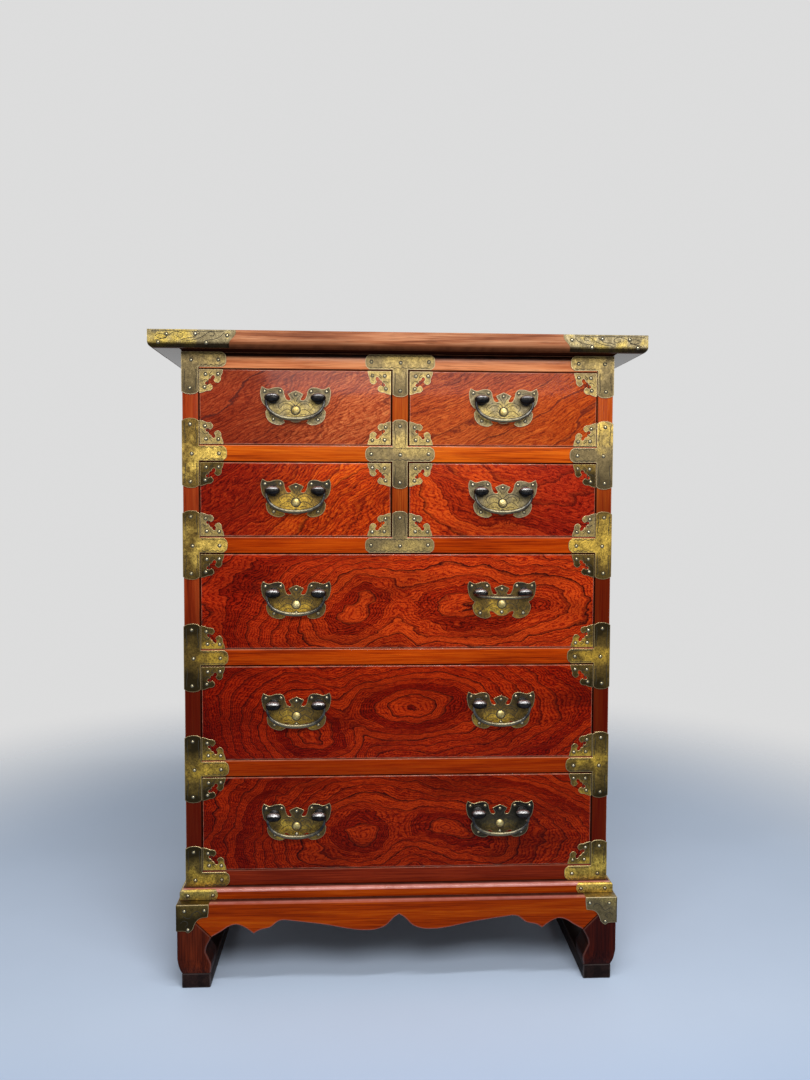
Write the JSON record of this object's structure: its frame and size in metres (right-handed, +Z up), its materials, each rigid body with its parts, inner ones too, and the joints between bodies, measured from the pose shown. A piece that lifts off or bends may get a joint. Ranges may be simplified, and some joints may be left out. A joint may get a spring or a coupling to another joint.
{
  "type": "chest of drawers",
  "caption": "Lacquered wooden chest of drawers with flat brass corner mounts and bat-shaped bail pulls, on a mitred stand with a scalloped apron and floor runners.",
  "frame": {"origin": "on the floor, at the middle of the bounding box seen from above", "axes": "+X to the right of someone facing the drawers, +Y from the drawers to the back, +Z up"},
  "size_m": [0.8002, 0.4485, 1.0702],
  "materials": {
    "frame_wood": "satin lacquer",
    "front_wood": "satin lacquer over strong figure",
    "leg_wood": "satin lacquer",
    "runner_wood": "dark stain",
    "inside_wood": "unfinished",
    "plate_brass": "aged",
    "bail_bronze": "dark patina"
  },
  "bodies": {
    "case": {"top_board": "frame_wood", "left_side": "frame_wood", "right_side": "frame_wood", "back_panel": "inside_wood", "left_stile": "frame_wood", "right_stile": "frame_wood", "top_rail": "frame_wood", "top_row_rail": "frame_wood", "second_row_rail": "frame_wood", "third_row_rail": "frame_wood", "fourth_row_rail": "frame_wood", "bottom_rail": "frame_wood", "upper_centre_post": "frame_wood", "lower_centre_post": "frame_wood", "base_moulding": "frame_wood", "front_apron": "frame_wood", "back_apron": "frame_wood", "left_apron": "frame_wood", "right_apron": "frame_wood", "front_left_leg": "leg_wood", "front_right_leg": "leg_wood", "back_left_leg": "leg_wood", "back_right_leg": "leg_wood", "left_runner": "runner_wood", "right_runner": "runner_wood"},
    "top_left_drawer": {"top_left_drawer_front": "front_wood", "top_left_drawer_box": "inside_wood", "top_left_plate": "plate_brass"},
    "top_right_drawer": {"top_right_drawer_front": "front_wood", "top_right_drawer_box": "inside_wood", "top_right_plate": "plate_brass"},
    "second_left_drawer": {"second_left_drawer_front": "front_wood", "second_left_drawer_box": "inside_wood", "second_left_plate": "plate_brass"},
    "second_right_drawer": {"second_right_drawer_front": "front_wood", "second_right_drawer_box": "inside_wood", "second_right_plate": "plate_brass"},
    "third_drawer": {"third_drawer_front": "front_wood", "third_drawer_box": "inside_wood", "third_left_plate": "plate_brass", "third_right_plate": "plate_brass"},
    "fourth_drawer": {"fourth_drawer_front": "front_wood", "fourth_drawer_box": "inside_wood", "fourth_left_plate": "plate_brass", "fourth_right_plate": "plate_brass"},
    "bottom_drawer": {"bottom_drawer_front": "front_wood", "bottom_drawer_box": "inside_wood", "bottom_left_plate": "plate_brass", "bottom_right_plate": "plate_brass"},
    "top_left_bail": {"top_left_bail": "bail_bronze"},
    "top_right_bail": {"top_right_bail": "bail_bronze"},
    "second_left_bail": {"second_left_bail": "bail_bronze"},
    "second_right_bail": {"second_right_bail": "bail_bronze"},
    "third_left_bail": {"third_left_bail": "bail_bronze"},
    "third_right_bail": {"third_right_bail": "bail_bronze"},
    "fourth_left_bail": {"fourth_left_bail": "bail_bronze"},
    "fourth_right_bail": {"fourth_right_bail": "bail_bronze"},
    "bottom_left_bail": {"bottom_left_bail": "bail_bronze"},
    "bottom_right_bail": {"bottom_right_bail": "bail_bronze"}
  },
  "joints": [
    {"name": "top_left_slide", "type": "slide", "parent": "case", "child": "top_left_drawer", "axis": [0, -1, 0], "range_m": [0, 0.28]},
    {"name": "top_right_slide", "type": "slide", "parent": "case", "child": "top_right_drawer", "axis": [0, -1, 0], "range_m": [0, 0.28]},
    {"name": "second_left_slide", "type": "slide", "parent": "case", "child": "second_left_drawer", "axis": [0, -1, 0], "range_m": [0, 0.28]},
    {"name": "second_right_slide", "type": "slide", "parent": "case", "child": "second_right_drawer", "axis": [0, -1, 0], "range_m": [0, 0.28]},
    {"name": "third_slide", "type": "slide", "parent": "case", "child": "third_drawer", "axis": [0, -1, 0], "range_m": [0, 0.28]},
    {"name": "fourth_slide", "type": "slide", "parent": "case", "child": "fourth_drawer", "axis": [0, -1, 0], "range_m": [0, 0.28]},
    {"name": "bottom_slide", "type": "slide", "parent": "case", "child": "bottom_drawer", "axis": [0, -1, 0], "range_m": [0, 0.28]},
    {"name": "top_left_swing", "type": "hinge", "parent": "top_left_drawer", "child": "top_left_bail", "pos_m": [-0.17, -0.18574, 0.96705], "axis": [-1, 0, 0], "range_deg": [-9, 180]},
    {"name": "top_right_swing", "type": "hinge", "parent": "top_right_drawer", "child": "top_right_bail", "pos_m": [0.17, -0.18574, 0.96705], "axis": [-1, 0, 0], "range_deg": [-9, 180]},
    {"name": "second_left_swing", "type": "hinge", "parent": "second_left_drawer", "child": "second_left_bail", "pos_m": [-0.17, -0.18574, 0.81745], "axis": [-1, 0, 0], "range_deg": [-9, 180]},
    {"name": "second_right_swing", "type": "hinge", "parent": "second_right_drawer", "child": "second_right_bail", "pos_m": [0.17, -0.18574, 0.81745], "axis": [-1, 0, 0], "range_deg": [-9, 180]},
    {"name": "third_left_swing", "type": "hinge", "parent": "third_drawer", "child": "third_left_bail", "pos_m": [-0.17, -0.18574, 0.6501], "axis": [-1, 0, 0], "range_deg": [-9, 180]},
    {"name": "third_right_swing", "type": "hinge", "parent": "third_drawer", "child": "third_right_bail", "pos_m": [0.17, -0.18574, 0.6501], "axis": [-1, 0, 0], "range_deg": [-93, 96]},
    {"name": "fourth_left_swing", "type": "hinge", "parent": "fourth_drawer", "child": "fourth_left_bail", "pos_m": [-0.17, -0.18574, 0.465], "axis": [-1, 0, 0], "range_deg": [-9, 180]},
    {"name": "fourth_right_swing", "type": "hinge", "parent": "fourth_drawer", "child": "fourth_right_bail", "pos_m": [0.17, -0.18574, 0.465], "axis": [-1, 0, 0], "range_deg": [-9, 180]},
    {"name": "bottom_left_swing", "type": "hinge", "parent": "bottom_drawer", "child": "bottom_left_bail", "pos_m": [-0.17, -0.18574, 0.2799], "axis": [-1, 0, 0], "range_deg": [-9, 180]},
    {"name": "bottom_right_swing", "type": "hinge", "parent": "bottom_drawer", "child": "bottom_right_bail", "pos_m": [0.17, -0.18574, 0.2799], "axis": [-1, 0, 0], "range_deg": [-9, 180]}
  ]
}
